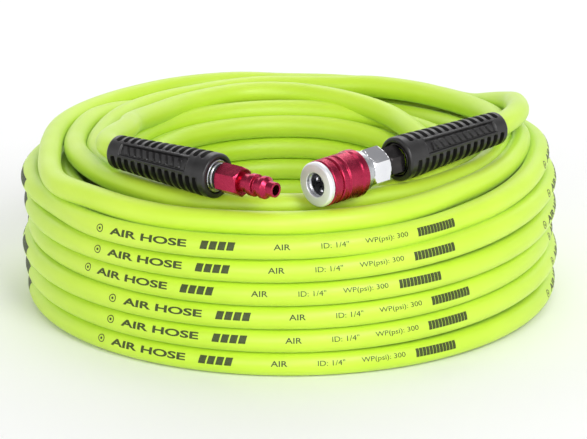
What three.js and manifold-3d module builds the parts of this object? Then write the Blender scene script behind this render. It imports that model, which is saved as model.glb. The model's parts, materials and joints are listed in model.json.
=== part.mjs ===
// Coiled air hose with a bend restrictor at each end, an industrial quick-connect plug on one end
// and the matching sliding-sleeve coupler on the other. Millimetres, +Z up. The coil stands on
// z = 0 and its axis is the Z axis.
import * as THREE from 'three';
import { mergeVertices } from 'three/addons/utils/BufferGeometryUtils.js';
import Module from 'manifold-3d';

const wasm = await Module();
wasm.setup();

// ---------------------------------------------------------------- driving dimensions

const HOSE = { outer: 12.7, bore: 6.35 };
const HOSE_RADIUS = HOSE.outer / 2;
const GAP = 0.3;                       // clearance kept where two pieces meet

const COIL = {
  outerTurn: 145,                      // centreline radius of the outermost column of turns
  innerTurn: 81.5,                     // centreline radius of the innermost column
  rows: 6,                             // turns stacked in each column
  crown: 86.5,                         // height of the nested top layer
};
const COIL_SHOULDER = COIL.rows * HOSE.outer;

const RESTRICTOR = {
  mouthRadius: 11.9,
  endRadius: 8.9,
  boreRadius: HOSE_RADIUS + GAP,
  cavityRadius: 9.1,
  cavityDepth: 17,                     // how deep the wide part goes, from the mouth
  slots: 12,
  slotWidth: 2.4,
  slotPitch: 4.7,
  slotStart: 8,
  slotDepth: 1.9,
  panelTilt: 31,                       // the plain sides look this many degrees above level
};

const PANEL_TILT = THREE.MathUtils.degToRad(RESTRICTOR.panelTilt);

// Heights of the pieces around the mouth, measured from the mouth towards the fitting.
const TAIL = { start: -22.3, end: -1.1 };              // clamped end of the hose in its ferrule
const STEM = { collarStart: -0.8, threadRadius: 5, threadLength: 10, waterway: 2 };
const FERRULE = { start: -16.5, end: -0.3, radius: 8.6 };

const PLUG = {
  hoseEnd: [-91.25, -74.3, 100.5],     // hose end of the restrictor
  azimuth: -39.7,
  rise: 0,
  mouth: 71.3,                         // hose end to the restrictor's mouth
  collarEnd: 1,
  sealEnd: 2.3,
  bodyStart: 2.6,
  hexFlats: 14.3,
  hexEnd: 17,
  neckEnd: 22.3,
  grooveStart: 26,
  grooveEnd: 30.1,
  tip: 38.8,
  neckRadius: 4.9,
  flangeRadius: 5.95,
  grooveRadius: 4.4,
  tipRadius: 3.9,
  waterway: 2.6,
};

const COUPLER = {
  nose: [13.4, -134.0, 100.0],         // centre of the front face
  azimuth: 43.5,
  rise: 1.6,
  length: 136,                         // front face to the restrictor's hose end
  mouth: 77.5,                         // hose end to the restrictor's mouth
  collarEnd: 10.5,
  socketRadius: 6.05,
  barrelRadius: 9,
  shoulderRadius: 10.9,
  barrelStart: 2.1,
  seatStart: 21.2,
  seatEnd: 23.2,
  shoulderStart: 24.5,
  spigotStart: 31.9,
  barrelEnd: 32.2,
  hexStart: 33.7,
  hexEnd: 46.2,
  hexFlats: 19,
};

const SLEEVE = {
  start: 3.4,
  end: 27.8,
  radius: 12.2,
  chamberRadius: 11.2,
  landRadius: 9.35,
  landStart: 8.8,
  landEnd: 12.6,
  grooves: [9.1, 13.7],
  rimStart: 22.5,
  rampSlope: 0.26,                     // how far a ball moves out for each millimetre of sleeve travel
};

const BALLS = { count: 6, radius: 2, circleRadius: 7.1, station: 8.5, holeRadius: 2.3 };

const FINE = 32;
const COARSE = 24;

// ---------------------------------------------------------------- geometry helpers

// A body turned about Z. The profile lists [radius, height] and runs outward along the bottom,
// up the outside and back along the top.
function turned(profile, segments = FINE) {
  const points = profile.map(([radius, height]) => new THREE.Vector2(radius, height));
  const [first, last] = [profile[0], profile[profile.length - 1]];
  const onAxis = first[0] === 0 && last[0] === 0;
  if (!onAxis) points.push(points[0].clone());
  const geometry = new THREE.LatheGeometry(points, segments, Math.PI / 2);
  return geometry.rotateX(Math.PI / 2);
}

function sleeveRing(inner, outer, start, end, segments = FINE) {
  return turned([[inner, start], [outer, start], [outer, end], [inner, end]], segments);
}

function rod(radius, start, end, segments = COARSE) {
  return turned([[0, start], [radius, start], [radius, end], [0, end]], segments);
}

// A hexagonal bar with chamfered ends, one corner up.
function hexBar(flats, start, end, chamfer = 0.9) {
  const corner = flats / 2 / Math.cos(Math.PI / 6);
  const bar = rod(corner, start, end, 6);
  const trim = turned([
    [0, start], [corner - chamfer, start], [corner + 0.4, start + chamfer],
    [corner + 0.4, end - chamfer], [corner - chamfer, end], [0, end],
  ], COARSE);
  return solid(bar).intersect(solid(trim));
}

function solid(geometry) {
  const bare = geometry.clone();
  bare.deleteAttribute('normal');
  bare.deleteAttribute('uv');
  const merged = mergeVertices(bare, 1e-4);
  const triVerts = dropSlivers(merged.index.array);
  return new wasm.Manifold(new wasm.Mesh({
    numProp: 3,
    vertProperties: new Float32Array(merged.attributes.position.array),
    triVerts,
  }));
}

function dropSlivers(index) {
  const kept = [];
  for (let i = 0; i < index.length; i += 3) {
    const [a, b, c] = [index[i], index[i + 1], index[i + 2]];
    if (a !== b && b !== c && c !== a) kept.push(a, b, c);
  }
  return new Uint32Array(kept);
}

function toGeometry(body) {
  const { vertProperties, triVerts } = body.getMesh();
  const geometry = new THREE.BufferGeometry();
  geometry.setAttribute('position', new THREE.BufferAttribute(new Float32Array(vertProperties), 3));
  geometry.setIndex(new THREE.BufferAttribute(new Uint32Array(triVerts), 1));
  geometry.computeVertexNormals();
  return geometry;
}

// A round bar that follows a curve.
function bar(curve, radius, sides, steps) {
  const section = new THREE.Shape();
  for (let i = 0; i < sides; i += 1) {
    const angle = (i / sides) * 2 * Math.PI;
    const [x, y] = [radius * Math.cos(angle), radius * Math.sin(angle)];
    if (i === 0) section.moveTo(x, y);
    else section.lineTo(x, y);
  }
  section.closePath();
  return new THREE.ExtrudeGeometry(section, { steps, curveSegments: 1, extrudePath: curve });
}

class Helix extends THREE.Curve {
  constructor(radius, start, end, turns) {
    super();
    Object.assign(this, { radius, start, end, turns });
  }

  getPoint(t, target = new THREE.Vector3()) {
    const angle = 2 * Math.PI * this.turns * t;
    const height = this.start + (this.end - this.start) * t;
    return target.set(this.radius * Math.cos(angle), this.radius * Math.sin(angle), height);
  }
}

function coilSpring(radius, wireRadius, start, end, turns) {
  const path = new Helix(radius, start + wireRadius, end - wireRadius, turns);
  return bar(path, wireRadius, 6, turns * 12);
}

// ---------------------------------------------------------------- materials

function finish(color, roughness, metalness = 0) {
  return new THREE.MeshStandardMaterial({ color, roughness, metalness });
}

const hoseGreen = () => finish(0xb9e232, 0.6);
const blackRubber = () => finish(0x26262a, 0.65);
const crimson = () => finish(0x9c1f45, 0.3, 0.9);
const chrome = () => finish(0xc9ccd0, 0.12, 1);
const steel = () => finish(0x9a9da1, 0.35, 1);
const blackOxide = () => finish(0x141416, 0.2, 0.8);
const nitrile = () => finish(0x1b1b1b, 0.7);

function piece(name, geometry, material) {
  const mesh = new THREE.Mesh(geometry, material);
  mesh.name = name;
  return mesh;
}

// ---------------------------------------------------------------- hose

function coilBlock() {
  const [low, high] = [COIL.innerTurn, COIL.outerTurn];
  const corner = HOSE_RADIUS;
  const soft = corner * (1 - Math.SQRT1_2);
  return turned([
    [low, 0], [high, 0],
    [high + corner - soft, soft], [high + corner, corner],
    [high + corner, COIL_SHOULDER - corner], [high + corner - soft, COIL_SHOULDER - soft],
    [high - corner, COIL.crown], [low + 2 * corner, COIL.crown],
    [low - corner + soft, COIL_SHOULDER - soft], [low - corner, COIL_SHOULDER - corner],
    [low - corner, corner], [low - corner + soft, soft],
  ], 64);
}

function leadTube(points) {
  const route = points.map(([x, y, z]) => new THREE.Vector3(x, y, z));
  const curve = new THREE.CatmullRomCurve3(route, false, 'centripetal');
  const steps = Math.ceil(curve.getLength() / (HOSE.outer * 0.45));
  return bar(curve, HOSE_RADIUS, 12, steps);
}

// Points on the straight stretch that the restrictor holds, from its ferrule to just outside it.
function straightInside(end, azimuth, rise, mouth) {
  const inward = direction(azimuth, rise);
  return [mouth + TAIL.start - GAP, 34, 17, 0, -5].map((reach) => (
    end.map((value, axis) => value + inward[axis] * reach)
  ));
}

function plugLead() {
  return leadTube([
    ...straightInside(PLUG.hoseEnd, PLUG.azimuth, PLUG.rise, PLUG.mouth),
    [-97.4, -64.5, 100.4], [-98, -52.1, 99.7], [-95.9, -38.4, 98], [-93.1, -21.5, 95.5],
    [-89.4, -4.7, 93.3],
  ]);
}

function couplerLead() {
  return leadTube([
    ...straightInside(couplerHoseEnd(), COUPLER.azimuth + 180, -COUPLER.rise, COUPLER.mouth),
    [119.1, -25.3, 103.6], [125.2, -6.6, 102.7], [127.2, 15.6, 99.8], [126.6, 31.6, 97.8],
    [126.7, 41.2, 95.3], [123.8, 49, 93.3],
  ]);
}

// ---------------------------------------------------------------- hose-end pieces
// Both hose ends use the same parts.

// The restrictor's height runs from its hose end at 0 to its mouth.
function bendRestrictor(length, tilt) {
  const { mouthRadius, endRadius, boreRadius, cavityRadius } = RESTRICTOR;
  const cavityStart = length - RESTRICTOR.cavityDepth;
  const shell = solid(turned([
    [boreRadius, 0], [endRadius - 1, 0], [endRadius, 1.2],
    [mouthRadius, length - 9], [mouthRadius, length - 1.2], [mouthRadius - 1, length],
    [cavityRadius, length], [cavityRadius, cavityStart], [boreRadius, cavityStart],
  ]));
  const cutters = [];
  for (let i = 0; i < RESTRICTOR.slots; i += 1) {
    const height = RESTRICTOR.slotStart + i * RESTRICTOR.slotPitch;
    const surface = endRadius + (mouthRadius - endRadius) * (height / (length - 9));
    const floor = Math.max(surface - RESTRICTOR.slotDepth, boreRadius + 0.6);
    for (const side of [-1, 1]) {
      const block = new THREE.BoxGeometry(8, 40, RESTRICTOR.slotWidth);
      block.translate(side * (floor + 4), 0, height).rotateZ(tilt);
      cutters.push(solid(block));
    }
  }
  return toGeometry(shell.subtract(wasm.Manifold.union(cutters)));
}

function hoseTail() {
  return sleeveRing(HOSE.bore / 2 + 0.35, HOSE_RADIUS, TAIL.start, TAIL.end, COARSE);
}

function crimpFerrule() {
  const wide = FERRULE.radius - 0.7;
  return turned([
    [HOSE_RADIUS + GAP, FERRULE.start], [FERRULE.radius - 0.6, FERRULE.start],
    [FERRULE.radius, FERRULE.start + 1], [FERRULE.radius, FERRULE.end - 0.5],
    [FERRULE.radius - 0.4, FERRULE.end], [wide, FERRULE.end],
    [wide, TAIL.end], [HOSE_RADIUS + GAP, TAIL.end],
  ]);
}

// Barbed stem: barbs inside the hose, a collar against the ferrule and a male pipe thread.
function barbedStem(collarEnd, collar) {
  const profile = [[0, TAIL.start + GAP], [2.7, TAIL.start + GAP]];
  const barbs = 4;
  const pitch = 4.4;
  for (let i = 0; i < barbs; i += 1) {
    const foot = TAIL.start + 1.5 + i * pitch;
    profile.push([2.6, foot], [3.25, foot + pitch - 1.2], [2.6, foot + pitch - 1]);
  }
  profile.push([2.6, STEM.collarStart], [6, STEM.collarStart]);
  profile.push([6, collarEnd], [STEM.threadRadius, collarEnd + 0.01]);
  profile.push([STEM.threadRadius, collarEnd + STEM.threadLength - 1]);
  profile.push([STEM.threadRadius - 0.8, collarEnd + STEM.threadLength]);
  profile.push([0, collarEnd + STEM.threadLength]);
  const waterway = rod(STEM.waterway, TAIL.start - 1, collarEnd + STEM.threadLength + 1);
  return toGeometry(solid(turned(profile, COARSE)).add(collar).subtract(solid(waterway)));
}

// The pieces that both hose ends share around the restrictor's mouth.
function mouthGroup(prefix, mouth, collarEnd, collar, metal) {
  const group = new THREE.Group();
  group.position.z = mouth;
  group.add(
    piece(`${prefix}_hose_end`, hoseTail(), hoseGreen()),
    piece(`${prefix}_ferrule`, crimpFerrule(), metal()),
    piece(`${prefix}_barbed_stem`, barbedStem(collarEnd, collar), metal()),
  );
  return group;
}

// ---------------------------------------------------------------- plug

function plugBody() {
  const { bodyStart, hexEnd, tip, neckRadius, flangeRadius, grooveRadius, tipRadius } = PLUG;
  const { neckEnd, grooveStart, grooveEnd } = PLUG;
  const nose = turned([
    [0, hexEnd - 1], [neckRadius, hexEnd - 1], [neckRadius, neckEnd],
    [flangeRadius - 0.4, neckEnd + 0.1], [flangeRadius, neckEnd + 0.6], [flangeRadius, grooveStart],
    [grooveRadius, grooveStart + 0.6], [grooveRadius, grooveEnd - 0.6],
    [flangeRadius, grooveEnd], [flangeRadius, grooveEnd + 2.6], [tipRadius, grooveEnd + 4.6],
    [tipRadius, tip - 0.5], [tipRadius - 0.5, tip], [0, tip],
  ]);
  const thread = rod(STEM.threadRadius + GAP, bodyStart - 1, PLUG.collarEnd + STEM.threadLength + 2);
  const waterway = rod(PLUG.waterway, bodyStart, tip + 1);
  const body = hexBar(PLUG.hexFlats, bodyStart, hexEnd).add(solid(nose));
  return toGeometry(body.subtract(solid(thread)).subtract(solid(waterway)));
}

function plugAssembly() {
  const collar = solid(rod(7.2, STEM.collarStart, PLUG.collarEnd));
  const group = aimed(PLUG.hoseEnd, PLUG.azimuth, PLUG.rise);
  const seal = sleeveRing(STEM.threadRadius + GAP, 6.9, PLUG.collarEnd + GAP, PLUG.sealEnd, COARSE);
  const atMouth = mouthGroup('plug', PLUG.mouth, PLUG.collarEnd, collar, steel);
  atMouth.add(
    piece('plug_thread_seal', seal, nitrile()),
    piece('plug_body', plugBody(), crimson()),
  );
  group.add(piece('plug_bend_restrictor', bendRestrictor(PLUG.mouth, -PANEL_TILT), blackRubber()), atMouth);
  return group;
}

// ---------------------------------------------------------------- coupler
// Heights on these pieces run from the coupler's front face at 0 towards the hose.

function noseRing() {
  return turned([
    [6.8, 0], [11.1, 0], [11.8, 0.8], [11.8, 3.1], [9.3, 3.1], [9.3, 1.8], [6.45, 1.8], [6.45, 0.4],
  ]);
}

function couplerBarrel() {
  const { socketRadius, barrelRadius, shoulderRadius } = COUPLER;
  const { barrelStart, seatStart, seatEnd, shoulderStart, spigotStart, barrelEnd } = COUPLER;
  const shell = solid(turned([
    [6.9, barrelStart], [barrelRadius, barrelStart], [barrelRadius, shoulderStart],
    [shoulderRadius, shoulderStart], [shoulderRadius, barrelEnd],
    [6.5, barrelEnd], [6.5, spigotStart - 0.6], [7.1, spigotStart - 0.7], [7.1, seatEnd],
    [4.6, seatEnd], [4.6, seatStart], [socketRadius, seatStart], [socketRadius, 14.6],
    [7.6, 14.6], [7.6, 12], [socketRadius, 12], [socketRadius, barrelStart + 1],
  ]));
  const holes = ballAngles().map((angle) => {
    const drill = new THREE.CylinderGeometry(BALLS.holeRadius, BALLS.holeRadius, 5, 12);
    drill.rotateZ(Math.PI / 2).translate(BALLS.circleRadius + 0.5, 0, BALLS.station);
    return solid(drill.rotateZ(angle));
  });
  return toGeometry(shell.subtract(wasm.Manifold.union(holes)));
}

function ballAngles() {
  return Array.from({ length: BALLS.count }, (_, i) => ((i + 0.5) / BALLS.count) * 2 * Math.PI);
}

// The ramp in front of the land lets the balls move outwards as the sleeve slides back.
function slidingSleeve() {
  const { start, end, radius, chamberRadius, landRadius, landStart, landEnd, rampSlope } = SLEEVE;
  const mouth = landRadius + rampSlope * (landStart - start);
  const grooves = SLEEVE.grooves.flatMap((middle) => [
    [radius, middle - 1], [radius - 0.7, middle - 0.6], [radius - 0.7, middle + 0.6], [radius, middle + 1],
  ]);
  return turned([
    [mouth, start], [radius - 0.4, start], [radius, start + 0.4], ...grooves,
    [radius, SLEEVE.rimStart], [radius + 0.5, SLEEVE.rimStart + 1], [radius + 0.5, end - 0.5],
    [radius, end], [chamberRadius, end], [chamberRadius, landEnd], [landRadius, landEnd],
    [landRadius, landStart],
  ]);
}

function couplerAdapter() {
  const { hexStart, hexEnd, hexFlats, spigotStart } = COUPLER;
  const threadEnd = COUPLER.length - COUPLER.mouth - COUPLER.collarEnd - STEM.threadLength;
  const spigot = rod(6.2, spigotStart, hexStart + 1);
  const thread = rod(STEM.threadRadius + GAP, threadEnd - GAP, hexEnd + 1);
  const springWell = rod(5.3, spigotStart - 1, 36);
  const waterway = rod(PLUG.waterway, 35, hexEnd);
  const body = hexBar(hexFlats, hexStart, hexEnd).add(solid(spigot));
  const hollows = [thread, springWell, waterway].map(solid);
  return toGeometry(body.subtract(wasm.Manifold.union(hollows)));
}

// Poppet with a three-legged guide that passes through the valve seat.
function valvePoppet() {
  const head = solid(rod(6.6, 25.1, 26.9)).add(solid(rod(4.1, 23.4, 25.2)));
  const stem = solid(rod(2.1, 19.6, 30.2, 16));
  const legs = [0, 1, 2].map((i) => {
    const leg = new THREE.BoxGeometry(4, 1.3, 4.6).translate(2, 0, 21.6);
    return solid(leg.rotateZ((i * 2 * Math.PI) / 3));
  });
  return toGeometry(wasm.Manifold.union([head, stem, ...legs]));
}

function roundSeal(inner, outer, start, end) {
  const bevel = (outer - inner) * 0.25;
  return turned([
    [inner + bevel, start], [outer - bevel, start], [outer, start + bevel], [outer, end - bevel],
    [outer - bevel, end], [inner + bevel, end], [inner, end - bevel], [inner, start + bevel],
  ], COARSE);
}

function lockBalls() {
  return ballAngles().map((angle, i) => {
    const ball = piece(`lock_ball_${i + 1}`, new THREE.IcosahedronGeometry(BALLS.radius, 2), steel());
    ball.position.set(
      BALLS.circleRadius * Math.cos(angle),
      BALLS.circleRadius * Math.sin(angle),
      BALLS.station,
    );
    return ball;
  });
}

function couplerFromFront() {
  const group = new THREE.Group();
  group.position.z = COUPLER.length;
  group.rotation.y = Math.PI;
  const gasket = sleeveRing(6.6, 9, COUPLER.barrelEnd + GAP, COUPLER.hexStart - GAP, COARSE);
  const sealStart = COUPLER.hexEnd + GAP;
  const sealEnd = COUPLER.length - COUPLER.mouth - COUPLER.collarEnd - GAP;
  const threadSeal = sleeveRing(STEM.threadRadius + GAP, 7, sealStart, sealEnd, COARSE);
  group.add(
    piece('nose_ring', noseRing(), chrome()),
    piece('coupler_barrel', couplerBarrel(), steel()),
    piece('coupler_sleeve', slidingSleeve(), crimson()),
    piece('sleeve_spring', coilSpring(10.1, 0.6, SLEEVE.landEnd + GAP, COUPLER.shoulderStart - GAP, 5), steel()),
    piece('valve_poppet', valvePoppet(), blackOxide()),
    piece('valve_seal', roundSeal(4.4, 6.5, 23.5, 24.8), nitrile()),
    piece('valve_spring', coilSpring(4.6, 0.45, 27.2, 35.7, 4), steel()),
    piece('bore_seal', roundSeal(5.6, 7.3, 12.4, 14.2), nitrile()),
    piece('adapter_gasket', gasket, nitrile()),
    piece('coupler_adapter', couplerAdapter(), chrome()),
    piece('coupler_thread_seal', threadSeal, nitrile()),
    ...lockBalls(),
  );
  return group;
}

function couplerAssembly() {
  const round = solid(rod(7.2, STEM.collarStart, COUPLER.collarEnd));
  const collar = round.add(hexBar(15, FERRULE.end + GAP, COUPLER.collarEnd, 0.6));
  const group = aimed(couplerHoseEnd(), COUPLER.azimuth + 180, -COUPLER.rise);
  group.add(
    piece('coupler_bend_restrictor', bendRestrictor(COUPLER.mouth, PANEL_TILT), blackRubber()),
    mouthGroup('coupler', COUPLER.mouth, COUPLER.collarEnd, collar, blackOxide),
    couplerFromFront(),
  );
  return group;
}

function couplerHoseEnd() {
  const back = direction(COUPLER.azimuth, COUPLER.rise);
  return COUPLER.nose.map((value, axis) => value + back[axis] * COUPLER.length);
}

// ---------------------------------------------------------------- placing

function direction(azimuth, rise) {
  const [turn, tilt] = [azimuth, rise].map(THREE.MathUtils.degToRad);
  return [Math.cos(tilt) * Math.cos(turn), Math.cos(tilt) * Math.sin(turn), Math.sin(tilt)];
}

// A group whose own +Z points along the given azimuth and rise, with its X axis in the upright plane.
function aimed(origin, azimuth, rise) {
  const group = new THREE.Group();
  const [turn, tilt] = [azimuth, rise].map(THREE.MathUtils.degToRad);
  group.rotation.order = 'ZYX';
  group.rotation.set(0, Math.PI / 2 - tilt, turn);
  group.position.set(...origin);
  return group;
}

const airHose = new THREE.Group();
airHose.add(
  piece('hose_coil', coilBlock(), hoseGreen()),
  piece('plug_lead_hose', plugLead(), hoseGreen()),
  piece('coupler_lead_hose', couplerLead(), hoseGreen()),
  plugAssembly(),
  couplerAssembly(),
);

export default airHose;
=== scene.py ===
import json
import math

import bmesh
import bpy
from mathutils import Matrix, Vector


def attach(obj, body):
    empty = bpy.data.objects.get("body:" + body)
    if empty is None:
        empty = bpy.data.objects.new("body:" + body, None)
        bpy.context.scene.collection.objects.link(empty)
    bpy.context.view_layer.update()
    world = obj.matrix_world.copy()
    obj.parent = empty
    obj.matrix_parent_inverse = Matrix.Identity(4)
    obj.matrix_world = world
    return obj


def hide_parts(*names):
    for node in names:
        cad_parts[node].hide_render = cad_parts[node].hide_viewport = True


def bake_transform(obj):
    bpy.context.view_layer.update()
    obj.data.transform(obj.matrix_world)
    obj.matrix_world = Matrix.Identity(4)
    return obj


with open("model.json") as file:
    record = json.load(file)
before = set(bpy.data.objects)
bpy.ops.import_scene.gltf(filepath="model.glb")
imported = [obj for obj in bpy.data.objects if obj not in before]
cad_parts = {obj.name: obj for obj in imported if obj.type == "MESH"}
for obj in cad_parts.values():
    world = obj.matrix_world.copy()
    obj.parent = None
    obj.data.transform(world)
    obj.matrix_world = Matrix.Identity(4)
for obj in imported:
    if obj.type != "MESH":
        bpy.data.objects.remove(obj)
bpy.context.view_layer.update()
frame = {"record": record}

# Lengths in this script are millimetres and angles are degrees, unless a name says otherwise.
# Meshes are written in metres.
MM = 0.001

# ---------------------------------------------------------------- driving dimensions

HOSE_RADIUS = 6.35
ROW_PITCH = 2 * HOSE_RADIUS           # height of one row of turns
RING_STEP = 5.0                       # distance between two rings of the hose's mesh
HOSE_SIDES = 24

# The restrictors' hose ends and their axes, as in the CAD.
PLUG_END = Vector((-91.25, -74.3, 100.5))
PLUG_AZIMUTH = -39.7
PLUG_MOUTH = 71.3                     # hose end to the restrictor's mouth
COUPLER_NOSE = Vector((13.4, -134.0, 100.0))
COUPLER_AZIMUTH = 43.5
COUPLER_RISE = 1.6
COUPLER_LENGTH = 136.0
COUPLER_MOUTH = 77.5
TAIL_END = -3.0                       # end of the hose, measured from the mouth

CAMERA_TARGET_M = Vector((0.0023, 0.0, 0.039))
CAMERA_DISTANCE_M = 1.75
CAMERA_ELEVATION = 17.6
CAMERA_LENS = 192.1


# ---------------------------------------------------------------- hose route
# A station is (angle, radius, height). The angle falls along the hose: 270 is the front, 180 the
# left, 90 the back and 0 the right.

PLUG_LEAD_AND_INNER_TURN = [
    (213.5, 116.8, 100.4), (208, 111, 99.7), (201.8, 103.3, 98), (193, 95.5, 95.5),
    (183, 89.5, 93.3), (176, 88.8, 92), (165, 92, 88.3), (148.6, 91.5, 86), (133, 96.8, 84.5),
    (114.8, 103.9, 83.7), (105.3, 107.7, 83.5), (97.7, 107.8, 83.5), (88.6, 105.4, 83.3),
    (76.2, 98.9, 83), (62.4, 93.3, 81.8), (51.4, 90.2, 80.3), (42.5, 86.5, 79),
    (26.7, 81.7, 77.2), (5, 82, 72.5), (340, 82.3, 70.2), (315, 82.5, 69.85), (85, 82.5, 69.85),
]

SECOND_TOP_TURN = [
    (20, 112, 76), (0, 107, 81), (340, 104, 85.5), (325, 103.5, 86.5), (300, 105.5, 83.5),
    (270, 107, 80.3), (225, 107, 80.5), (184, 106.4, 82), (168, 107.3, 82), (160, 108.5, 82.5),
    (151, 110.5, 83), (141, 112.5, 83), (130, 115, 82.8), (117.5, 117, 82.6), (110, 120, 82.5),
    (98, 124, 82.6), (90, 123.5, 82.5), (82, 123.8, 82.6), (75, 124, 83.2), (71.5, 126, 84.1),
    (59.4, 124, 85.5), (51, 123, 86.1), (40, 121.5, 86.5), (26, 121, 87.5), (13, 119.6, 89.3),
    (0, 116.8, 90.5),
]

THIRD_TOP_TURN = [
    (344.5, 116, 86.3), (336, 114.5, 84), (326, 114.2, 84), (318, 112, 83), (311, 111, 82.3),
    (302, 110.5, 82.3), (295, 109.5, 82.4), (283.6, 112.8, 82.5), (272.8, 115.5, 83.3),
    (255, 117.5, 83.2), (241, 119, 82.8), (231, 117.7, 83.2), (215, 116, 83.3), (205, 115.8, 83),
    (196, 116.5, 82.7), (184, 118.5, 82.2), (169, 120.4, 82), (160.5, 122.5, 82),
    (153, 125, 81.6), (141, 125, 79.5), (132, 126.5, 76), (120, 129, 74), (108, 131, 73),
    (90, 130.5, 71.5), (75, 133, 71.5), (60, 139, 71.5), (48, 141.5, 72), (38, 142.5, 74),
    (25, 140, 77),
]

TOP_OUTER_ROW = [
    (355, 137.5, 81.2), (342, 137.8, 79), (332, 137.8, 77), (320, 137.6, 74.5), (311, 137, 72.6),
    (302, 138.2, 71.4), (294, 140.4, 71), (287, 142.2, 70.6), (270, 144.3, 69.85), (245, 145, 69),
    (228, 144, 68.3), (207, 139, 67.5), (184.5, 142.6, 67.2), (90, 143.5, 66.5),
]

# The outer rows below the top one, from the bottom up: (radius, height) on the right and on the
# left, where they lean in and out a little. On the front they lie exactly one above the other.
RIGHT_OF_ROW = [(142.3, 8.7), (143.1, 25.3), (140.3, 38), (141.9, 51.5), (141.7, 66.5)]
LEFT_OF_ROW = [(140, 6.35), (141.1, 18.6), (142.5, 30.6), (139.3, 42.6), (141, 54.6)]
FRONT_RADIUS = 144.0

OUTER_TOP_TURN_AND_COUPLER_LEAD = [
    (60, 132.5, 66), (38, 129.5, 71), (25, 127.5, 75.5), (12, 128.5, 84), (356, 127, 86.6),
    (350, 126.6, 86), (339, 125, 83.5), (329, 124.5, 82.7), (316, 124.7, 82), (305, 128.3, 81.5),
    (296, 131.7, 81), (288, 135.6, 81), (281, 136.6, 81), (272, 139, 81), (254, 138.9, 80.3),
    (245, 139.7, 80), (235, 139.2, 80), (221, 137.5, 80.1), (208, 139.3, 79.2), (196, 135.5, 80.5),
    (184, 132.1, 82), (175, 132.4, 82), (165, 134.5, 82), (148.5, 136.2, 82), (132, 137, 82.2),
    (120, 139.2, 82.2), (108.5, 139.7, 82), (101, 138, 82), (92.6, 136.5, 80.7), (80, 137.3, 80.5),
    (60, 137, 81), (48, 135, 81.8), (38, 133.2, 82.6), (32.7, 134, 86.3), (25.3, 133.1, 91),
    (18, 133.2, 95.3), (14, 130.5, 97.8), (7, 128.2, 99.8), (357, 125.4, 102.7),
    (348, 121.8, 103.6),
]

# The hidden turns fill columns. Column 0 is the outermost and 6 the innermost; the odd columns
# lie half a row higher than the even ones.
OUTER_COLUMN = 144.0
COLUMN_PITCH = 10.25
SETTLED_ANGLES = (335, 210, 85)       # a turn keeps its place between these and then changes over


def column_place(column, row):
    lift = HOSE_RADIUS * (1 + column % 2)
    return OUTER_COLUMN - COLUMN_PITCH * column, lift + ROW_PITCH * row


def settled_turns(places):
    return [(angle, *column_place(*place)) for place in places for angle in SETTLED_ANGLES]


def inner_core():
    """From the inner hole outwards: three full columns, then two columns wound together."""
    places = [(6, row) for row in (4, 3, 2, 1, 0)]
    places += [(5, row) for row in range(6)]
    places += [(4, row) for row in (5, 4, 3, 2, 1, 0)]
    places += [(3, 0), (2, 0), (2, 1), (3, 1), (3, 2), (2, 2), (2, 3), (3, 3), (2, 4), (2, 5)]
    return settled_turns(places)


def lower_outer_rows():
    """Down the outside, one row a turn, to the floor."""
    stations = []
    for row in reversed(range(len(RIGHT_OF_ROW))):
        right, left = RIGHT_OF_ROW[row], LEFT_OF_ROW[row]
        below = RIGHT_OF_ROW[row - 1] if row else left
        back = [(a + b) / 2 for a, b in zip(left, below)]
        front = (FRONT_RADIUS, HOSE_RADIUS + ROW_PITCH * row)
        stations += [(355.6, *right), (270, *front), (184.5, *left), (90, *back)]
    return stations


def second_column():
    return settled_turns([(1, row) for row in range(5)])


def unwound(stations):
    """The same stations with angles that fall all the way, by 360 for each turn."""
    result = []
    turns = 0
    for angle, radius, height in stations:
        while result and angle - 360 * turns >= result[-1][0]:
            turns += 1
        result.append((angle - 360 * turns, radius, height))
    return result


def slopes(positions, values):
    """Slopes of a smooth curve through the values that never overshoots them."""
    count = len(values)
    steps = [positions[i + 1] - positions[i] for i in range(count - 1)]
    rises = [(values[i + 1] - values[i]) / steps[i] for i in range(count - 1)]
    result = [rises[0]] + [0.0] * (count - 2) + [rises[-1]]
    for i in range(1, count - 1):
        before, after = rises[i - 1], rises[i]
        if before * after > 0:
            near = 2 * steps[i] + steps[i - 1]
            far = steps[i] + 2 * steps[i - 1]
            result[i] = (near + far) / (near / before + far / after)
    return result


def hermite(t, low, high, low_slope, high_slope, step):
    square, cube = t * t, t * t * t
    return (
        (2 * cube - 3 * square + 1) * low + (cube - 2 * square + t) * step * low_slope
        + (3 * square - 2 * cube) * high + (cube - square) * step * high_slope
    )


def wound_line(stations, spacing=1.25):
    """Points along the stations, about one degree and a quarter apart."""
    angles = [-station[0] for station in stations]
    columns = [[station[i] for station in stations] for i in (1, 2)]
    tangents = [slopes(angles, column) for column in columns]
    points = []
    for i in range(len(stations) - 1):
        step = angles[i + 1] - angles[i]
        pieces = max(1, round(step / spacing))
        for k in range(pieces):
            t = k / pieces
            radius, height = (
                hermite(t, column[i], column[i + 1], slope[i], slope[i + 1], step)
                for column, slope in zip(columns, tangents)
            )
            turn = math.radians(-angles[i] - step * t)
            points.append(Vector((radius * math.cos(turn), radius * math.sin(turn), height)))
    return points


def direction(azimuth, rise):
    turn, tilt = math.radians(azimuth), math.radians(rise)
    level = math.cos(tilt)
    return Vector((level * math.cos(turn), level * math.sin(turn), math.sin(tilt)))


def straight(start, end, spacing=2.5):
    pieces = round((end - start).length / spacing)
    return [start.lerp(end, k / pieces) for k in range(pieces)]


def resampled(points, spacing):
    """Points at one equal distance along the line, near the given spacing."""
    lengths = [0.0]
    for a, b in zip(points, points[1:]):
        lengths.append(lengths[-1] + (b - a).length)
    count = round(lengths[-1] / spacing)
    result = []
    i = 0
    for k in range(count):
        reach = lengths[-1] * k / count
        while lengths[i + 1] < reach:
            i += 1
        share = (reach - lengths[i]) / (lengths[i + 1] - lengths[i])
        result.append(points[i].lerp(points[i + 1], share))
    return result + [points[-1]]


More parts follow.
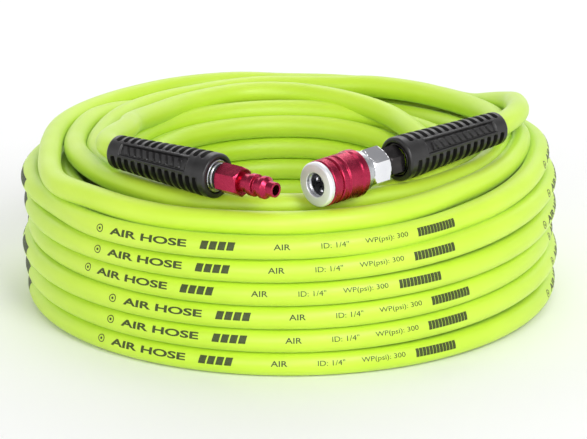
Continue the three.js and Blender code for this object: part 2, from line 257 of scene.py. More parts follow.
def eased(points, held_start, held_end, rounds):
    """Rounds off small kinks, but leaves the straight ends inside the fittings where they are."""
    points = list(points)
    last = len(points) - held_end
    for _ in range(rounds):
        moved = points[:]
        for i in range(held_start, last):
            moved[i] = (points[i - 1] + points[i + 1]) * 0.25 + points[i] * 0.5
        points = moved
    return points


PLUG_AXIS = direction(PLUG_AZIMUTH, 0)
COUPLER_BACK = direction(COUPLER_AZIMUTH, COUPLER_RISE)
COUPLER_END = COUPLER_NOSE + COUPLER_BACK * COUPLER_LENGTH


def hose_route():
    stations = unwound(
        PLUG_LEAD_AND_INNER_TURN + inner_core() + SECOND_TOP_TURN + THIRD_TOP_TURN
        + TOP_OUTER_ROW + lower_outer_rows() + second_column() + OUTER_TOP_TURN_AND_COUPLER_LEAD
    )
    plug_tail = PLUG_END + PLUG_AXIS * (PLUG_MOUTH + TAIL_END)
    coupler_tail = COUPLER_END - COUPLER_BACK * (COUPLER_MOUTH + TAIL_END)
    line = straight(plug_tail, PLUG_END) + wound_line(stations)
    line += straight(COUPLER_END, coupler_tail) + [coupler_tail]
    spacing = 2.0
    held_start = round((PLUG_MOUTH + TAIL_END - 3) / spacing)
    held_end = round((COUPLER_MOUTH + TAIL_END - 3) / spacing)
    return resampled(eased(resampled(line, spacing), held_start, held_end, 24), RING_STEP)


# ---------------------------------------------------------------- mesh helpers

def mesh_object(name, vertices, faces, sharp=None):
    mesh = bpy.data.meshes.new(name)
    mesh.from_pydata([tuple(v) for v in vertices], [], faces)
    mesh.validate()
    mesh.shade_smooth()
    if sharp is not None:
        mesh.set_sharp_from_angle(angle=math.radians(sharp))
    obj = bpy.data.objects.new(name, mesh)
    bpy.context.scene.collection.objects.link(obj)
    return obj


def loop_faces(first, second, count):
    """Quads between two rings of vertices, given their first indices."""
    faces = []
    for k in range(count):
        after = (k + 1) % count
        faces.append((first + k, first + after, second + after, second + k))
    return faces


def outline_body(name, place, rings, sides, sharp=30):
    """A closed body around the local Z axis. Each ring is (height, radius), and a radius is a
    number or a function of the angle. The rings run up the outside, down the inside and close on
    themselves, or start and end on the axis with radius 0."""
    solid_core = rings[0][1] == 0
    body = rings[1:-1] if solid_core else rings
    vertices = []
    for height, radius in body:
        for k in range(sides):
            angle = 2 * math.pi * k / sides
            reach = radius(angle) if callable(radius) else radius
            point = Vector((reach * math.cos(angle), reach * math.sin(angle), height))
            vertices.append(place @ (point * MM))
    faces = []
    joins = len(body) - 1 if solid_core else len(body)
    for i in range(joins):
        faces += loop_faces(i * sides, (i + 1) % len(body) * sides, sides)
    if solid_core:
        for height, ring, turn_back in ((rings[0][0], 0, True), (rings[-1][0], joins, False)):
            centre = len(vertices)
            vertices.append(place @ Vector((0, 0, height * MM)))
            for k in range(sides):
                a, b = ring * sides + k, ring * sides + (k + 1) % sides
                faces.append((centre, b, a) if turn_back else (centre, a, b))
    return mesh_object(name, vertices, faces, sharp)


def rounded(profile, radius, steps=4):
    """A closed outline of (radius, height) points with its corners rounded off, as rings."""
    rings = []
    count = len(profile)
    for i, (r, z) in enumerate(profile):
        here = Vector((r, z))
        before = Vector(profile[i - 1]) - here
        after = Vector(profile[(i + 1) % count]) - here
        cut = min(radius, before.length * 0.45, after.length * 0.45)
        start = here + before.normalized() * cut
        end = here + after.normalized() * cut
        for k in range(steps + 1):
            t = k / steps
            point = start * (1 - t) ** 2 + here * (2 * t * (1 - t)) + end * t * t
            rings.append((point.y, point.x))
    return rings


def placed(origin, azimuth, rise):
    """The local frame of a fitting: Z along its axis, X in the upright plane and pointing down."""
    return (
        Matrix.Translation(origin * MM)
        @ Matrix.Rotation(math.radians(azimuth), 4, "Z")
        @ Matrix.Rotation(math.pi / 2 - math.radians(rise), 4, "Y")
    )


def levels(start, end, step):
    count = max(1, round((end - start) / step))
    return [start + (end - start) * k / count for k in range(count + 1)]


def ramp(value, start, end):
    """0 before start, 1 after end, and smooth in between."""
    t = min(1.0, max(0.0, (value - start) / (end - start)))
    return t * t * (3 - 2 * t)


def within(value, half_width, softness):
    """1 inside plus or minus half_width, fading to 0 over the softness outside it."""
    return 1 - ramp(abs(value), half_width, half_width + softness)


# ---------------------------------------------------------------- materials

class Finish:
    """A Principled material with the few node chains that the finishes share."""

    def __init__(self, name, roughness, metallic=0.0):
        self.material = bpy.data.materials.new(name)
        self.material.use_nodes = True
        self.nodes = self.material.node_tree.nodes
        self.links = self.material.node_tree.links
        self.shader = self.nodes["Principled BSDF"]
        self.shader.inputs["Roughness"].default_value = roughness
        self.shader.inputs["Metallic"].default_value = metallic
        self.place = self.nodes.new("ShaderNodeTexCoord").outputs["Object"]
        self.height = None

    def noise(self, scale, detail=3.0, stretch=(1, 1, 1)):
        mapping = self.nodes.new("ShaderNodeMapping")
        mapping.inputs["Scale"].default_value = stretch
        self.links.new(self.place, mapping.inputs["Vector"])
        texture = self.nodes.new("ShaderNodeTexNoise")
        texture.inputs["Scale"].default_value = scale
        texture.inputs["Detail"].default_value = detail
        self.links.new(mapping.outputs["Vector"], texture.inputs["Vector"])
        return texture.outputs["Fac"]

    def colour(self, factor, stops):
        """Stops are (position, (red, green, blue)) in linear light."""
        blend = self.nodes.new("ShaderNodeValToRGB")
        elements = blend.color_ramp.elements
        while len(elements) < len(stops):
            elements.new(0.5)
        for element, (position, colour) in zip(elements, stops):
            element.position = position
            element.color = (*colour, 1)
        self.links.new(factor, blend.inputs["Fac"])
        self.links.new(blend.outputs["Color"], self.shader.inputs["Base Color"])

    def gloss(self, factor, low, high):
        span = self.nodes.new("ShaderNodeMapRange")
        span.inputs["From Min"].default_value = 0.3
        span.inputs["From Max"].default_value = 0.7
        span.inputs["To Min"].default_value = low
        span.inputs["To Max"].default_value = high
        self.links.new(factor, span.inputs["Value"])
        self.links.new(span.outputs["Result"], self.shader.inputs["Roughness"])

    def relief(self, factor, strength, depth):
        bump = self.nodes.new("ShaderNodeBump")
        bump.inputs["Strength"].default_value = strength
        bump.inputs["Distance"].default_value = depth
        self.links.new(factor, bump.inputs["Height"])
        if self.height is not None:
            self.links.new(self.height, bump.inputs["Normal"])
        self.height = bump.outputs["Normal"]
        self.links.new(self.height, self.shader.inputs["Normal"])


def hose_jacket():
    finish = Finish("lime_hose_jacket", 0.45)
    finish.colour(finish.noise(14, 4), [
        (0.30, (0.50, 0.74, 0.020)), (0.50, (0.53, 0.76, 0.028)), (0.70, (0.57, 0.79, 0.040)),
    ])
    finish.gloss(finish.noise(60), 0.42, 0.52)
    finish.relief(finish.noise(900, 2), 0.25, 0.0001)
    finish.relief(finish.noise(70, 2), 0.15, 0.0006)
    finish.shader.inputs["Specular IOR Level"].default_value = 0.75
    finish.shader.inputs["Sheen Weight"].default_value = 0.12
    finish.shader.inputs["Sheen Roughness"].default_value = 0.5
    return finish.material


def moulded_rubber():
    finish = Finish("black_moulded_rubber", 0.36)
    finish.colour(finish.noise(90, 5), [
        (0.30, (0.007, 0.0065, 0.0065)), (0.70, (0.016, 0.015, 0.015)),
    ])
    finish.gloss(finish.noise(300), 0.28, 0.42)
    finish.relief(finish.noise(2600, 3), 0.2, 0.00008)
    finish.shader.inputs["Specular IOR Level"].default_value = 0.55
    return finish.material


def crimson_anodised():
    finish = Finish("crimson_anodised_aluminium", 0.26, 1.0)
    finish.colour(finish.noise(120, 4), [
        (0.30, (0.38, 0.024, 0.062)), (0.70, (0.48, 0.036, 0.088)),
    ])
    finish.gloss(finish.noise(500), 0.22, 0.32)
    finish.relief(finish.noise(1500, 2), 0.04, 0.00002)
    return finish.material


def bright_plating():
    finish = Finish("chrome_plating", 0.1, 1.0)
    finish.colour(finish.noise(60, 3), [
        (0.30, (0.78, 0.79, 0.82)), (0.70, (0.88, 0.88, 0.90)),
    ])
    finish.gloss(finish.noise(240), 0.06, 0.16)
    finish.relief(finish.noise(700, 2), 0.05, 0.00004)
    return finish.material


def satin_plating():
    finish = Finish("satin_nickel_plating", 0.45, 0.7)
    finish.colour(finish.noise(60, 3), [
        (0.30, (0.78, 0.79, 0.82)), (0.70, (0.88, 0.88, 0.90)),
    ])
    finish.gloss(finish.noise(240), 0.4, 0.52)
    finish.relief(finish.noise(900, 2), 0.1, 0.00004)
    return finish.material


def turned_steel():
    finish = Finish("turned_steel", 0.3, 1.0)
    finish.colour(finish.noise(220, 4), [
        (0.30, (0.46, 0.47, 0.49)), (0.70, (0.62, 0.63, 0.65)),
    ])
    finish.gloss(finish.noise(600), 0.22, 0.4)
    finish.relief(finish.noise(1800, 2), 0.15, 0.00005)
    return finish.material


def black_oxide():
    finish = Finish("black_oxide_metal", 0.2, 0.8)
    finish.colour(finish.noise(150, 4), [
        (0.30, (0.020, 0.018, 0.018)), (0.70, (0.045, 0.040, 0.040)),
    ])
    finish.gloss(finish.noise(500), 0.14, 0.26)
    finish.relief(finish.noise(900, 2), 0.12, 0.00006)
    return finish.material


def nitrile_seal():
    finish = Finish("black_nitrile", 0.6)
    finish.colour(finish.noise(200, 3), [
        (0.30, (0.012, 0.012, 0.012)), (0.70, (0.030, 0.030, 0.030)),
    ])
    finish.gloss(finish.noise(400), 0.5, 0.7)
    finish.relief(finish.noise(2000, 2), 0.2, 0.00008)
    return finish.material


def printing_ink():
    finish = Finish("dark_printing_ink", 0.55)
    finish.colour(finish.noise(1500, 4), [
        (0.30, (0.030, 0.045, 0.004)), (0.70, (0.055, 0.080, 0.010)),
    ])
    finish.gloss(finish.noise(900), 0.45, 0.65)
    return finish.material


def studio_paper():
    finish = Finish("pale_studio_floor", 0.9)
    finish.colour(finish.noise(3, 2), [(0.30, (0.91, 0.91, 0.91)), (0.70, (0.94, 0.94, 0.94))])
    return finish.material


FINISHES = {
    "hose": hose_jacket(),
    "restrictor": moulded_rubber(),
    "crimson": crimson_anodised(),
    "chrome": bright_plating(),
    "steel": turned_steel(),
    "black_metal": black_oxide(),
    "seal": nitrile_seal(),
}


def finished(obj, slot, body, *stands_for):
    """Gives a new piece its finish and its body, and hides the CAD nodes that it stands for."""
    obj.data.materials.append(FINISHES[slot])
    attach(obj, body)
    if stands_for:
        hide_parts(*stands_for)
    return obj


def refinish_cad_nodes():
    """CAD nodes that stay get the procedural finish of their slot."""
    for part in frame["record"]["subparts"]:
        node = bpy.data.objects.get(part["node"])
        if node is None:
            continue
        node.data.materials.clear()
        node.data.materials.append(FINISHES[part["material_slot"]])


# ---------------------------------------------------------------- camera

def add_camera():
    tilt = math.radians(CAMERA_ELEVATION)
    data = bpy.data.cameras.new("camera")
    data.sensor_width = 36
    data.lens = CAMERA_LENS
    data.clip_end = 50
    camera = bpy.data.objects.new("camera", data)
    back = Vector((0, -math.cos(tilt), math.sin(tilt)))
    camera.location = CAMERA_TARGET_M + back * CAMERA_DISTANCE_M
    camera.rotation_euler = (math.pi / 2 - tilt, 0, 0)
    bpy.context.scene.collection.objects.link(camera)
    bpy.context.scene.camera = camera


# ---------------------------------------------------------------- hose

def section_axes(points):
    """For each point of the route: the level direction across it and the upright one."""
    axes = []
    last = len(points) - 1
    for i in range(len(points)):
        along = (points[min(i + 1, last)] - points[max(i - 1, 0)]).normalized()
        across = along.cross(Vector((0, 0, 1))).normalized()
        axes.append((across, across.cross(along)))
    return axes


def hose_mesh(points, axes):
    vertices = []
    for point, (across, upright) in zip(points, axes):
        for k in range(HOSE_SIDES):
            angle = 2 * math.pi * k / HOSE_SIDES
            offset = across * math.cos(angle) + upright * math.sin(angle)
            vertices.append((point + offset * HOSE_RADIUS) * MM)
    faces = []
    for i in range(len(points) - 1):
        faces += loop_faces(i * HOSE_SIDES, (i + 1) * HOSE_SIDES, HOSE_SIDES)
    faces.append(tuple(reversed(range(HOSE_SIDES))))
    last = (len(points) - 1) * HOSE_SIDES
    faces.append(tuple(last + k for k in range(HOSE_SIDES)))
    return mesh_object("air_hose", vertices, faces, 60)


def make_hose():
    points = hose_route()
    hose = hose_mesh(points, section_axes(points))
    finished(
        hose, "hose", "hose",
        "hose_coil", "plug_lead_hose", "coupler_lead_hose", "plug_hose_end", "coupler_hose_end",
    )
    return hose, points


# ---------------------------------------------------------------- printed marks
# A mark is drawn flat, in millimetres, and then laid round the hose. Its x runs with the text and
# starts at the first letter of AIR; its y is the height above the middle of the line of text.

PRINT_PERIOD = 288.0                  # distance from one printing to the next
PRINT_LIFT = 17.6                     # the line of text looks this far above the horizon
INK_THICKNESS = 0.07

# Where the front printing starts on each outer row, from the bottom row up: an angle of the coil.
PRINT_ANGLES = (266.0, 268.4, 270.2, 262.9, 265.1, 267.1)


def text_mark(body, start, width, height, bold=0.0):
    """Plain lettering that starts at x = start, as wide and high as given."""
    data = bpy.data.curves.new("lettering", "FONT")
    data.body = body
    data.offset = bold
    data.resolution_u = 4
    helper = bpy.data.objects.new("lettering", data)
    bpy.context.scene.collection.objects.link(helper)
    bpy.context.view_layer.update()
    flat = bpy.data.meshes.new_from_object(helper.evaluated_get(bpy.context.evaluated_depsgraph_get()))
    bpy.data.objects.remove(helper)
    xs = [v.co.x for v in flat.vertices]
    ys = [v.co.y for v in flat.vertices]
    wide, tall = max(xs) - min(xs), max(ys) - min(ys)
    for vertex in flat.vertices:
        vertex.co.x = start + (vertex.co.x - min(xs)) * width / wide
        vertex.co.y = (vertex.co.y - min(ys)) * height / tall - height / 2
    return flat


def outline_mark(points):
    flat = bpy.data.meshes.new("mark")
    flat.from_pydata([(x, y, 0) for x, y in points], [], [tuple(range(len(points)))])
    return flat


def bar_mark(start, end, height, slant=0.0):
    low, high = -height / 2, height / 2
    return outline_mark([(start, low), (end, low), (end + slant, high), (start + slant, high)])


def round_mark(x, inner, outer):
    """A ring, or a dot where the inner radius is 0."""
    count = 32
    angles = [2 * math.pi * k / count for k in range(count)]
    circle = [(math.cos(angle), math.sin(angle)) for angle in angles]
    flat = bpy.data.meshes.new("mark")
    if inner == 0:
        flat.from_pydata([(x + c * outer, s * outer, 0) for c, s in circle], [], [tuple(range(count))])
        return flat
    points = [(x + c * r, s * r, 0) for r in (inner, outer) for c, s in circle]
    quads = [(k, (k + 1) % count, count + (k + 1) % count, count + k) for k in range(count)]
    flat.from_pydata(points, [], [tuple(reversed(quad)) for quad in quads])
    return flat


def line_of_marks():
    marks = [round_mark(-96, 1.7, 2.2), round_mark(-96, 0, 0.7)]
    marks.append(text_mark("AIR HOSE", -89, 45, 3.9, 0.03))
    marks += [bar_mark(-37 + 4.5 * i, -33.4 + 4.5 * i, 4.4, 1.0) for i in range(4)]
    marks.append(text_mark("AIR", 0, 8.3, 3.0, 0.012))
    marks.append(text_mark('ID: 1/4"', 23.4, 13.8, 2.9))
    marks.append(text_mark("WP(psi): 300", 45.6, 23.4, 3.4))
    marks += [bar_mark(75 + 2.0 * i, 76.75 + 2.0 * i, 4.6) for i in range(12)]
    return marks


def diced(marks):
    """All marks in one flat mesh, cut fine enough to bend round the hose, with the ink's thickness."""
    sheet = bmesh.new()
    for mark in marks:
        sheet.from_mesh(mark)
        bpy.data.meshes.remove(mark)
    low = min(v.co.x for v in sheet.verts)
    high = max(v.co.x for v in sheet.verts)
    cuts = [((x, 0, 0), (1, 0, 0)) for x in levels(low, high, 1.5)]
    cuts += [((0, y, 0), (0, 1, 0)) for y in levels(-2.4, 2.4, 0.6)]
    for point, normal in cuts:
        geometry = sheet.verts[:] + sheet.edges[:] + sheet.faces[:]
        bmesh.ops.bisect_plane(sheet, geom=geometry, plane_co=point, plane_no=normal)
    for face in sheet.faces:
        if face.normal.z < 0:
            face.normal_flip()
    top = bmesh.ops.extrude_face_region(sheet, geom=sheet.faces[:], use_keep_orig=True)
    for item in top["geom"]:
        if isinstance(item, bmesh.types.BMVert):
            item.co.z += INK_THICKNESS
    bmesh.ops.recalc_face_normals(sheet, faces=sheet.faces[:])
    return sheet


def nearest_ring(points, angle, height):
    """The ring of the hose that passes the front at this angle and height."""
    turn = math.radians(angle)
    target = Vector((FRONT_RADIUS * math.cos(turn), FRONT_RADIUS * math.sin(turn), height))
    return min(range(len(points)), key=lambda i: (points[i] - target).length_squared)


def laid_round(sheet, name, points, axes, starts, lift):
    """Copies of the marks round the hose; each starts at a distance along the hose's route."""
    step = (points[-2] - points[-3]).length
    raised = HOSE_RADIUS - 0.02
    sheet.verts.ensure_lookup_table()
    vertices = []
    faces = []
    for start in starts:
        first = len(vertices)
        for vertex in sheet.verts:
            reach = (start - vertex.co.x) / step
            i = int(reach)
            share = reach - i
            centre = points[i].lerp(points[i + 1], share)
            across = axes[i][0].lerp(axes[i + 1][0], share)
            upright = axes[i][1].lerp(axes[i + 1][1], share)
            angle = math.radians(lift) + vertex.co.y / HOSE_RADIUS
            out = upright * math.sin(angle) - across * math.cos(angle)
            vertices.append((centre + out * (raised + vertex.co.z)) * MM)
        faces += [tuple(first + v.index for v in face.verts) for face in sheet.faces]
    marks = mesh_object(name, vertices, faces, 30)
    marks.data.materials.append(printing_ink())
    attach(marks, "hose")
    return marks


def print_hose_marks(points):
    axes = section_axes(points)
    step = (points[-2] - points[-3]).length
    sheet = diced(line_of_marks())
    sheet.verts.index_update()
    for row, angle in enumerate(PRINT_ANGLES):
        start = nearest_ring(points, angle, HOSE_RADIUS + ROW_PITCH * row) * step
        starts = [start + PRINT_PERIOD * turn for turn in (-1, 0, 1)]
        laid_round(sheet, f"hose_print_row_{row + 1}", points, axes, starts, PRINT_LIFT)
    sheet.free()


# ---------------------------------------------------------------- hose-end pieces

RESTRICTOR_END_RADIUS = 8.9
RESTRICTOR_FLARE = 3.0                # how much wider it is at the mouth
RESTRICTOR_BORE = 6.65
RIM_RADIUS = 1.4
CAVITY_RADIUS = 9.1                   # the space for the ferrule, behind the mouth
CAVITY_DEPTH = 17.0
PANEL_TILT = 31.0                     # the panels look this far above the horizon
SLOT_COUNT = 13
SLOT_START = 5.2
SLOT_WIDTH = 2.9
SLOT_DEPTH = 2.3
SLOT_REACH = 60.0                     # half of the angle that a slot spans
COLLAR = 6.4                          # from the last slot's middle to the mouth
PANEL_DEPTH = 1.35
PANEL_HALF_ANGLE = 17.5
PANEL_LINE_ANGLE = 23.0
PANEL_LINE_HEIGHT = 0.45
RIB_HEIGHT = 1.0
RIB_PITCH = 4.6
RIB_HALF_WIDTH = 1.3
RIB_HALF_ANGLE = 12.5


def restrictor_skin(height, length):
    """Plain outer radius: a straight taper with rounded rims."""
    radius = RESTRICTOR_END_RADIUS + RESTRICTOR_FLARE * min(1.0, height / (length - 9))
    rim = RIM_RADIUS
    edge = min(height, length - height)
    if edge < rim:
        radius -= rim - math.sqrt(max(0.0, rim * rim - (rim - edge) ** 2))
    return radius


def slot_depth(height, from_centre, pitch):
    """Cross slots with rounded ends; from_centre is in degrees from the middle of the slots."""
    place = (height - SLOT_START) / pitch
    nearest = min(SLOT_COUNT - 1, max(0, round(place)))
    offset = height - SLOT_START - nearest * pitch
    half = SLOT_WIDTH / 2
    reach = SLOT_REACH - 3 * (offset / half) ** 2
    return SLOT_DEPTH * within(offset, half - 0.15, 0.3) * within(from_centre, reach, 3)


def panel_relief(height, from_centre, length):
    """A sunk panel between two raised lines, with a row of slanting ribs in it."""
    end = length - 15
    end_fade = 1 - ramp(height, end, end + 2)
    inside = within(from_centre, PANEL_HALF_ANGLE, 1.5) * (ramp(height, 9.4, 9.9) * end_fade)
    line = within(from_centre, PANEL_LINE_ANGLE, 1.2) * ramp(height, 8.2, 8.5) * end_fade
    slant = height - 14 - from_centre * 0.09
    offset = slant - RIB_PITCH * round(slant / RIB_PITCH)
    ribs = 0.0
    if 12 < height < end - 3:
        ribs = within(offset, RIB_HALF_WIDTH, 0.3) * within(from_centre, RIB_HALF_ANGLE, 1.6)
    return PANEL_LINE_HEIGHT * line - PANEL_DEPTH * inside + RIB_HEIGHT * ribs


def restrictor_reach(height, length, turn_sign):
    plain = restrictor_skin(height, length)
    pitch = (length - COLLAR - SLOT_START) / (SLOT_COUNT - 1)

    def reach(angle):
        # Local X points down, so the panels look along plus and minus Y, turned by the tilt.
        side = (math.degrees(angle) + turn_sign * PANEL_TILT + 180) % 360 - 180
        from_panel = side - 90 if side > 0 else side + 90
        from_slots = 90 - abs(from_panel)
        relief = panel_relief(height, from_panel, length)
        return plain - slot_depth(height, from_slots, pitch) + relief

    return reach


def make_restrictor(prefix, place, length, turn_sign):
    outside = [
        (height, restrictor_reach(height, length, turn_sign)) for height in levels(0, length, 0.25)
    ]
    inside = [
        (length, 9.5), (length - 0.5, 9.15), (length - 2, CAVITY_RADIUS),
        (length - 16.4, CAVITY_RADIUS), (length - 16.9, 8.8), (length - CAVITY_DEPTH, 6.75),
        (30, RESTRICTOR_BORE), (0.8, RESTRICTOR_BORE), (0, 6.9),
    ]
    piece = outline_body(prefix + "_restrictor_moulded", place, outside + inside, 180, sharp=50)
    return finished(piece, "restrictor", "hose", prefix + "_bend_restrictor")


# Heights on the pieces below run from the restrictor's mouth towards the fitting.

def make_ferrule(prefix, place, slot):
    """Crimped shell with shallow crimp flats round its waist."""
    def crimped(depth):
        return lambda angle: 8.6 - depth * (0.5 + 0.5 * math.cos(8 * angle))

    outside = [(-16.5, 7.9), (-16.2, 8.3), (-15.5, 8.6)]
    outside += [
        (height, crimped(0.45 * within(height + 9, 4, 1.2))) for height in levels(-15, -3, 0.5)
    ]
    outside += [(-0.9, 8.6), (-0.5, 8.5), (-0.3, 8.2)]
    inside = [(-0.3, 7.9), (-1.1, 7.9), (-1.1, 6.65), (-16.5, 6.65)]
    piece = outline_body(prefix + "_ferrule_crimped", place, outside + inside, 96)
    return finished(piece, slot, "hose", prefix + "_ferrule")


BARB_PITCH = 4.4
BARB_COUNT = 4
THREAD_PITCH = 1.41
THREAD_DEPTH = 0.5
THREAD_LENGTH = 10.0


def thread_rings(start):
    """A pipe thread as close ridges that run once round for each pitch."""
    def ridge(height):
        def radius(angle):
            phase = (height / THREAD_PITCH - angle / (2 * math.pi)) % 1
            return 5.0 - THREAD_DEPTH * abs(2 * phase - 1)
        return radius

    return [(height, ridge(height)) for height in levels(start, start + THREAD_LENGTH - 0.8, 0.23)]


def make_stem(prefix, place, slot, collar_rings, collar_end):
    """Barbs inside the hose, a collar in the mouth and a male pipe thread."""
    barbs = [(-22.0, 2.1), (-22.0, 2.6)]
    for i in range(BARB_COUNT):
        foot = -20.8 + i * BARB_PITCH
        barbs += [(foot, 2.6), (foot + BARB_PITCH - 1.2, 3.2), (foot + BARB_PITCH - 1, 2.6)]
    outside = barbs + [(-0.8, 2.6), (-0.8, 5.8)] + collar_rings
    outside += [(collar_end, 5.6), (collar_end + 0.02, 4.7)] + thread_rings(collar_end + 0.3)
    end = collar_end + THREAD_LENGTH
    inside = [(end, 4.1), (end, 2.2), (end - 0.3, 2.0), (-21.6, 2.0)]
    piece = outline_body(prefix + "_stem_turned", place, outside + inside, 96)
    return finished(piece, slot, "hose", prefix + "_barbed_stem")


def hexagon(flats, cap):
    """Radius of a hexagon with one corner on local X, its corners trimmed to the cap radius."""
    def radius(angle):
        off = (math.degrees(angle) + 30) % 60 - 30
        return min(cap, flats / 2 / math.cos(math.radians(30 - abs(off))))
    return radius


def hex_rings(flats, start, end, chamfer):
    """Outside rings of a hexagonal bar with turned chamfers at both ends."""
    corner = flats / 2 / math.cos(math.radians(30))
    rings = []
    for height in levels(start, start + chamfer, chamfer / 4):
        rings.append((height, hexagon(flats, corner - (chamfer - (height - start)) * 1.3)))
    for height in levels(end - chamfer, end, chamfer / 4):
        rings.append((height, hexagon(flats, corner - (height - end + chamfer) * 1.3)))
    return rings


# ---------------------------------------------------------------- plug

def make_plug_body(place):
    outside = hex_rings(14.3, 2.6, 17, 1.1)
    nose = rounded([
        (4.9, 17), (4.9, 22.4), (5.95, 22.8), (5.95, 26), (4.4, 26.4), (4.4, 29.7),
        (5.95, 30.1), (5.95, 32.7), (3.95, 34.4), (3.95, 38.8), (2.7, 38.8),
        (2.6, 30), (2.6, 14), (5.3, 13), (5.3, 2.6),
    ], 0.3)
    body = outline_body("plug_body_turned", place, outside + nose, 96)
    return finished(body, "crimson", "hose", "plug_body")


# ---------------------------------------------------------------- coupler
# Heights on these pieces run from the front face at 0 towards the hose.

BALL_COUNT = 6
BALL_STATION = 8.5
BALL_HOLE_RADIUS = 2.3
ADAPTER_HEXAGON = 19                  # across the flats
COLLAR_HEXAGON = 15
KNURL_TEETH = 60
KNURL_PITCH = 1.25
KNURL_DEPTH = 0.22
KNURLED_BANDS = [(4.2, 7.6), (10.5, 12.3), (15.2, 21.8)]
SLEEVE_GROOVES = (9.1, 13.7)
SLEEVE_START = 3.4
SLEEVE_END = 27.8
SLEEVE_RADIUS = 12.2


def knurl(height):
    """How deep the diamond knurl is at this height, as a function of the angle."""
    depth = max(ramp(height, low, low + 0.4) * (1 - ramp(height, high - 0.4, high))
                for low, high in KNURLED_BANDS)
    phase = height / KNURL_PITCH

    def cut(angle):
        turn = KNURL_TEETH * angle / (2 * math.pi)
        left = abs((turn + phase) % 1 - 0.5)
        right = abs((turn - phase) % 1 - 0.5)
        return KNURL_DEPTH * depth * (1 - 2 * min(0.5, max(left, right)))

    return cut


def sleeve_skin(height):
    """Outer radius of the sleeve: two grooves near the front and a flared rim at the back."""
    radius = SLEEVE_RADIUS
    for groove in SLEEVE_GROOVES:
        radius -= 0.95 * within(height - groove, 0.75, 0.3)
    radius += 0.5 * ramp(height, 22.6, 24.6)
    edge = min(height - SLEEVE_START, SLEEVE_END - height)
    if edge < 0.6:
        radius -= 0.6 - math.sqrt(max(0.0, 0.36 - (0.6 - edge) ** 2))
    return radius


def sleeve_reach(height):
    plain, cut = sleeve_skin(height), knurl(height)
    return lambda angle: plain - cut(angle)


def make_sleeve(place):
    outside = [(height, sleeve_reach(height)) for height in levels(SLEEVE_START, SLEEVE_END, 0.25)]
    inside = [
        (SLEEVE_END, 11.2), (20, 11.2), (12.8, 11.2), (12.6, 11.0), (12.6, 9.55), (12.4, 9.35),
        (8.8, 9.35), (6, 10.07), (SLEEVE_START, 10.75),
    ]
    piece = outline_body("sliding_sleeve", place, outside + inside, 240, sharp=70)
    return finished(piece, "crimson", "sleeve", "coupler_sleeve")


def make_nose_ring(place):
    profile = [
        (6.45, 0.9), (6.45, 0.25), (6.7, 0), (11.1, 0), (11.8, 0.8), (11.8, 3.1), (9.3, 3.1),
        (9.3, 1.8), (6.45, 1.8),
    ]
    ring = outline_body("nose_ring_polished", place, rounded(profile, 0.5, 5), 96)
    finished(ring, "chrome", "hose", "nose_ring")
    ring.data.materials[0] = satin_plating()
    return ring


def make_barrel(place):
    """Socket, seal groove, valve seat and the shoulder behind the sleeve, with six ball holes."""
    profile = [
        (9.0, 2.1), (9.0, 24.5), (10.9, 24.5), (10.9, 32.2), (6.5, 32.2), (6.5, 31.3), (7.1, 31.2),
        (7.1, 23.2), (4.6, 23.2), (4.6, 21.2), (6.05, 21.2), (6.05, 14.6), (7.6, 14.6), (7.6, 12),
        (6.05, 12), (6.05, 3.1), (6.9, 2.1),
    ]
    barrel = outline_body("barrel_turned", place, rounded(profile, 0.3, 3), 100)
    drills = []
    for i in range(BALL_COUNT):
        turn = Matrix.Rotation(2 * math.pi * (i + 0.5) / BALL_COUNT, 4, "Z")
        outwards = Matrix.Rotation(math.pi / 2, 4, "Y")
        aim = Matrix.Translation((0, 0, BALL_STATION * MM)) @ turn @ outwards
        drill = [(4.5, 0), (4.5, BALL_HOLE_RADIUS), (11, BALL_HOLE_RADIUS), (11, 0)]
        drills.append(outline_body("drill", place @ aim, drill, 24))
    return finished(cut_away(barrel, drills), "steel", "hose", "coupler_barrel")


def cut_away(body, cutters):
    """Cuts the cutters out of the body and removes them."""
    for cutter in cutters:
        modifier = body.modifiers.new("cut", "BOOLEAN")
        modifier.operation = "DIFFERENCE"
        modifier.object = cutter
    cut = bpy.data.meshes.new_from_object(body.evaluated_get(bpy.context.evaluated_depsgraph_get()))
    body.modifiers.clear()
    body.data = cut
    for cutter in cutters:
        bpy.data.objects.remove(cutter)
    return body


def make_spring(name, place, radius, wire, fixed_end, moving_end, turns, node):
    """A coil spring round the coupler's axis, wound from the fixed end's height to the moving end's
    height.
    """
    sides = 10
    steps = turns * 28
    rise = moving_end - fixed_end
    inset = math.copysign(wire, rise)
    vertices = []
    for i in range(steps + 1):
        share = i / steps
        turn = 2 * math.pi * turns * share
        height = fixed_end + inset + (rise - 2 * inset) * share
        for k in range(sides):
            angle = 2 * math.pi * k / sides
            reach = radius + wire * math.cos(angle)
            along = height + wire * math.sin(angle)
            point = Vector((reach * math.cos(turn), reach * math.sin(turn), along))
            vertices.append(place @ (point * MM))
    faces = []
    for i in range(steps):
        faces += loop_faces(i * sides, (i + 1) * sides, sides)
    faces.append(tuple(reversed(range(sides))))
    faces.append(tuple(steps * sides + k for k in range(sides)))
    spring = mesh_object(name, vertices, faces, 60)
    spring.data.materials.append(FINISHES["steel"])
    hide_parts(node)
    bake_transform(spring)
    return spring


def make_adapter(place):
    outside = [(31.9, 5.9), (32.1, 6.2), (33.5, 6.2), (33.7, 6.6)]
    outside += hex_rings(ADAPTER_HEXAGON, 33.7, 46.2, 1.5)
    inside = [
        (46.2, 5.6), (45.8, 5.3), (37.7, 5.3), (37.7, 2.6), (36, 2.6), (36, 5.3), (31.9, 5.3),
    ]
    adapter = outline_body("adapter_hexagon", place, outside + inside, 96)
    return finished(adapter, "chrome", "hose", "coupler_adapter")


# ---------------------------------------------------------------- studio

def add_floor():
    half = 8.0
    corners = [(-half, -half, 0), (half, -half, 0), (half, half, 0), (-half, half, 0)]
    floor = mesh_object("studio_floor", corners, [(0, 1, 2, 3)])
    floor.data.materials.append(studio_paper())


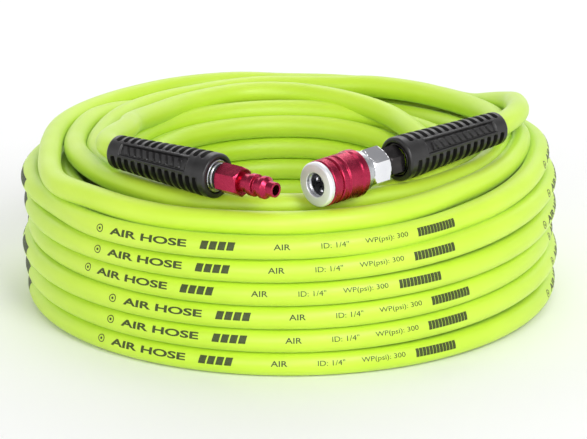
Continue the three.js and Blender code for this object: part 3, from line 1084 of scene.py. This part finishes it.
def add_softbox(name, location, size, power, target=(0, 0, 0.05)):
    data = bpy.data.lights.new(name, "AREA")
    data.shape = "RECTANGLE"
    data.size, data.size_y = size
    data.energy = power
    light = bpy.data.objects.new(name, data)
    light.location = location
    aim = Vector(target) - Vector(location)
    light.rotation_euler = aim.to_track_quat("-Z", "Y").to_euler()
    bpy.context.scene.collection.objects.link(light)


def add_lights():
    world = bpy.data.worlds.new("studio")
    world.use_nodes = True
    nodes, links = world.node_tree.nodes, world.node_tree.links
    split = nodes.new("ShaderNodeSeparateXYZ")
    links.new(nodes.new("ShaderNodeTexCoord").outputs["Generated"], split.inputs["Vector"])
    sky = nodes.new("ShaderNodeValToRGB")
    sky.color_ramp.elements[0].position = 0.2
    sky.color_ramp.elements[0].color = (1.0, 1.0, 1.0, 1)
    sky.color_ramp.elements[1].position = 0.65
    sky.color_ramp.elements[1].color = (0.32, 0.32, 0.33, 1)
    links.new(split.outputs["Z"], sky.inputs["Fac"])
    background = nodes["Background"]
    links.new(sky.outputs["Color"], background.inputs["Color"])
    background.inputs["Strength"].default_value = 1.03
    bpy.context.scene.world = world
    add_softbox("key_softbox", (0.9, -1.7, 1.5), (1.0, 1.0), 25)
    add_softbox("front_softbox", (-0.5, -2.6, 0.8), (1.8, 1.0), 20)
    add_softbox("top_softbox", (0.3, 0.5, 2.2), (1.2, 1.2), 6)
    add_softbox("background_softbox", (0, 3.0, 2.0), (6, 3), 130, (0, 3.4, 0))


# ---------------------------------------------------------------- hose ends put together

def further(place, height):
    return place @ Matrix.Translation((0, 0, height * MM))


def make_plug_side():
    place = placed(PLUG_END, PLUG_AZIMUTH, 0)
    mouth = further(place, PLUG_MOUTH)
    collar = [(-0.5, 6.8), (-0.2, 7.2), (0.7, 7.2), (1.0, 6.8)]
    return [
        make_restrictor("plug", place, PLUG_MOUTH, 1),
        make_ferrule("plug", mouth, "steel"),
        make_stem("plug", mouth, "steel", collar, 1.0),
        make_plug_body(mouth),
    ]


def make_coupler_side():
    place = placed(COUPLER_END, COUPLER_AZIMUTH + 180, -COUPLER_RISE)
    mouth = further(place, COUPLER_MOUTH)
    front = further(place, COUPLER_LENGTH) @ Matrix.Rotation(math.pi, 4, "Y")
    collar = hex_rings(COLLAR_HEXAGON, 0.1, 10.5, 1.2)
    make_spring("sleeve_spring_coil", front, 10.1, 0.55, 24.2, 12.9, 5, "sleeve_spring")
    make_spring("valve_spring_coil", front, 4.6, 0.45, 35.7, 27.2, 4, "valve_spring")
    return [
        make_restrictor("coupler", place, COUPLER_MOUTH, -1),
        make_ferrule("coupler", mouth, "black_metal"),
        make_stem("coupler", mouth, "black_metal", collar, 10.5),
        make_sleeve(front),
        make_nose_ring(front),
        make_barrel(front),
        make_adapter(front),
    ]


# ---------------------------------------------------------------- building

add_camera()
hose, centreline = make_hose()
refinish_cad_nodes()
fitting_pieces = make_plug_side() + make_coupler_side()
print_hose_marks(centreline)

add_floor()
add_lights()
bpy.context.scene.view_settings.view_transform = "Standard"
